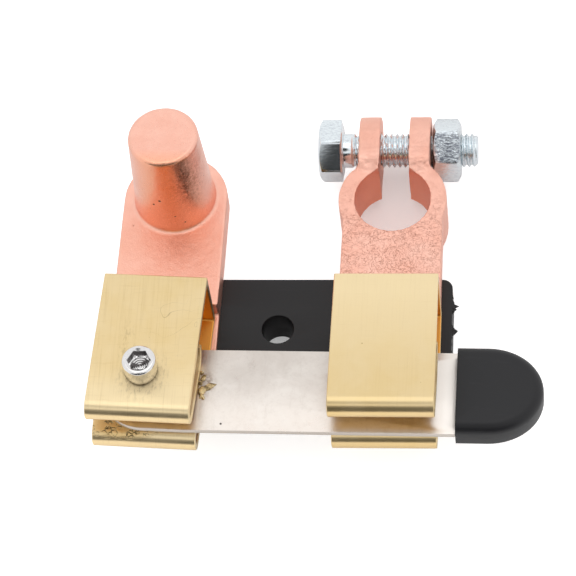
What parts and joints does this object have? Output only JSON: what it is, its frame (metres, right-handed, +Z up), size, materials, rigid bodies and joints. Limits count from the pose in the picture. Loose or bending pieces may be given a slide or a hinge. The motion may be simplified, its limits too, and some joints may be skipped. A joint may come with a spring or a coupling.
{
  "type": "battery terminal disconnect switch",
  "caption": "Knife-blade battery disconnect: insulating plate with a clamp terminal and a tapered post, two folded brass jaws and a blade that swings out about a socket screw.",
  "frame": {"origin": "centre of the plate's middle hole, on the plate's underside", "axes": "+X along the plate from the post side to the clamp side, +Y from the blade to the battery terminals, +Z up, out of the plate's top"},
  "size_m": [0.0998, 0.0904, 0.0406],
  "materials": {
    "plate_plastic": "black moulded insulating plastic, satin, with rough moulding burrs",
    "handle_plastic": "black moulded plastic, satin",
    "cast_copper": "cast and copper plated, faintly grainy, with pits",
    "jaw_brass": "bright rolled brass strip with fine scratches",
    "blade_nickel": "warm grey nickel plating, blotchy and worn",
    "screw_nickel": "bright nickel plating",
    "zinc_steel": "bright zinc plating"
  },
  "bodies": {
    "base": {"base_plate": "plate_plastic", "post_terminal": "cast_copper", "clamp_terminal": "cast_copper", "hinge_jaw": "jaw_brass", "contact_jaw": "jaw_brass", "hinge_screw": "screw_nickel", "hinge_washer": "zinc_steel", "hinge_nut": "zinc_steel", "hinge_jaw_screw": "zinc_steel", "hinge_jaw_nut": "zinc_steel", "contact_jaw_screw": "zinc_steel", "contact_jaw_nut": "zinc_steel"},
    "blade": {"switch_blade": "blade_nickel", "handle_grip": "handle_plastic"},
    "bolt": {"clamp_bolt": "zinc_steel"},
    "nut": {"clamp_nut": "zinc_steel"}
  },
  "joints": [
    {"name": "blade_swing", "type": "hinge", "parent": "base", "child": "blade", "pos_m": [-0.0269, -0.0219, 0.0199], "axis": [0, 0, 1], "range_deg": [-180, 0]},
    {"name": "bolt_slide", "type": "slide", "parent": "base", "child": "bolt", "axis": [1, 0, 0], "range_m": [-0.0003, 0.0036]},
    {"name": "nut_turn", "type": "hinge", "parent": "bolt", "child": "nut", "pos_m": [0.03395, 0.0491, 0.00905], "axis": [1, 0, 0], "continuous": true}
  ]
}
